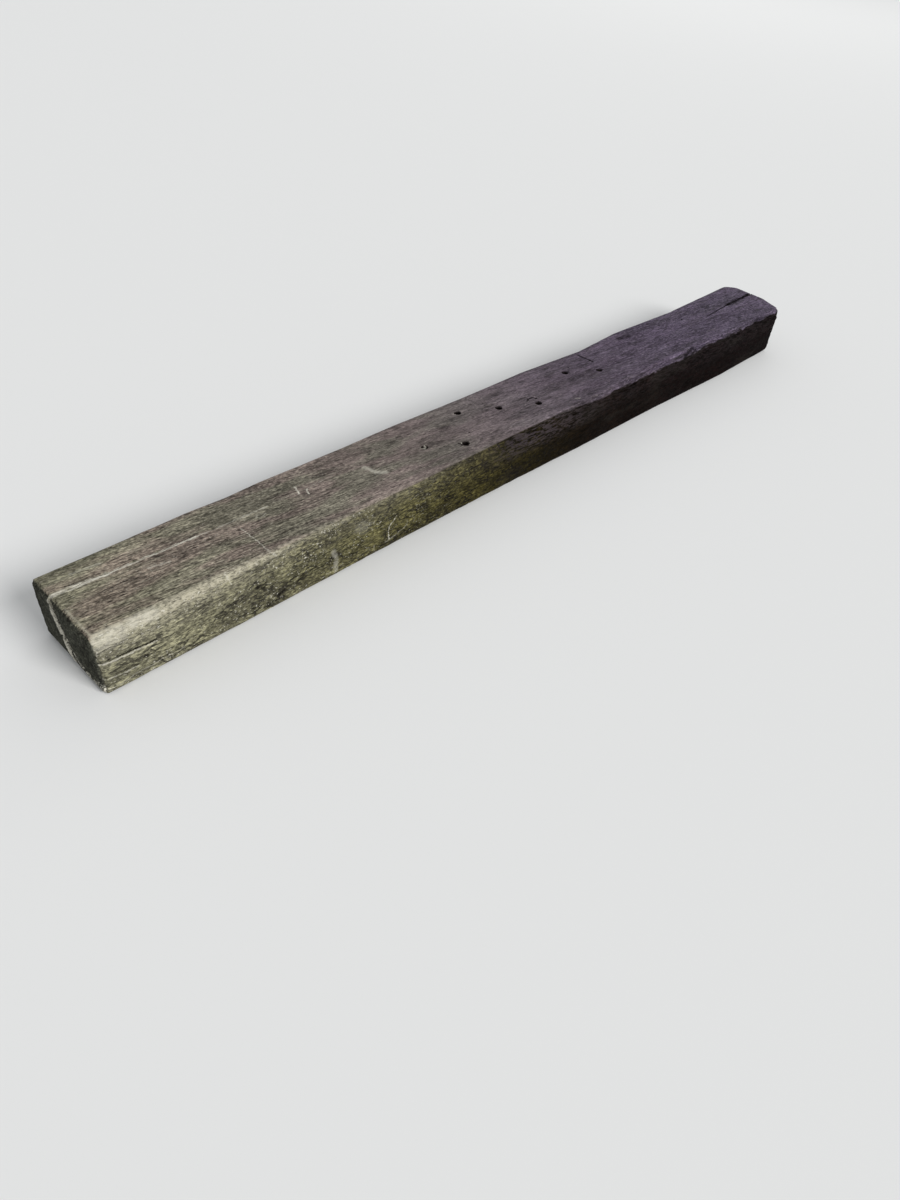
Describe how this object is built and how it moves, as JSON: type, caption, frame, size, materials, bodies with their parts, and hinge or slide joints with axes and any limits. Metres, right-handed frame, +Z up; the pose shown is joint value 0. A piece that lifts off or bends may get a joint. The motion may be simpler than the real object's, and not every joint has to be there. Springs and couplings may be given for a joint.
{
  "type": "railway sleeper",
  "caption": "Weathered sawn timber railway sleeper with worn and waney arrises, end splits, and a skew pattern of screw holes bored through it.",
  "frame": {"origin": "middle of the sleeper's footprint, at the bed it lies on", "axes": "+X along the timber from the near end, with the long check, to the far end, with the wide split and the broken corner; +Z up through the screw holes; the front face, with the wane, looks towards -Y"},
  "size_m": [2.6, 0.251, 0.16],
  "materials": {
    "timber": "satin"
  },
  "bodies": {
    "root": {"sleeper": "timber"}
  },
  "joints": []
}
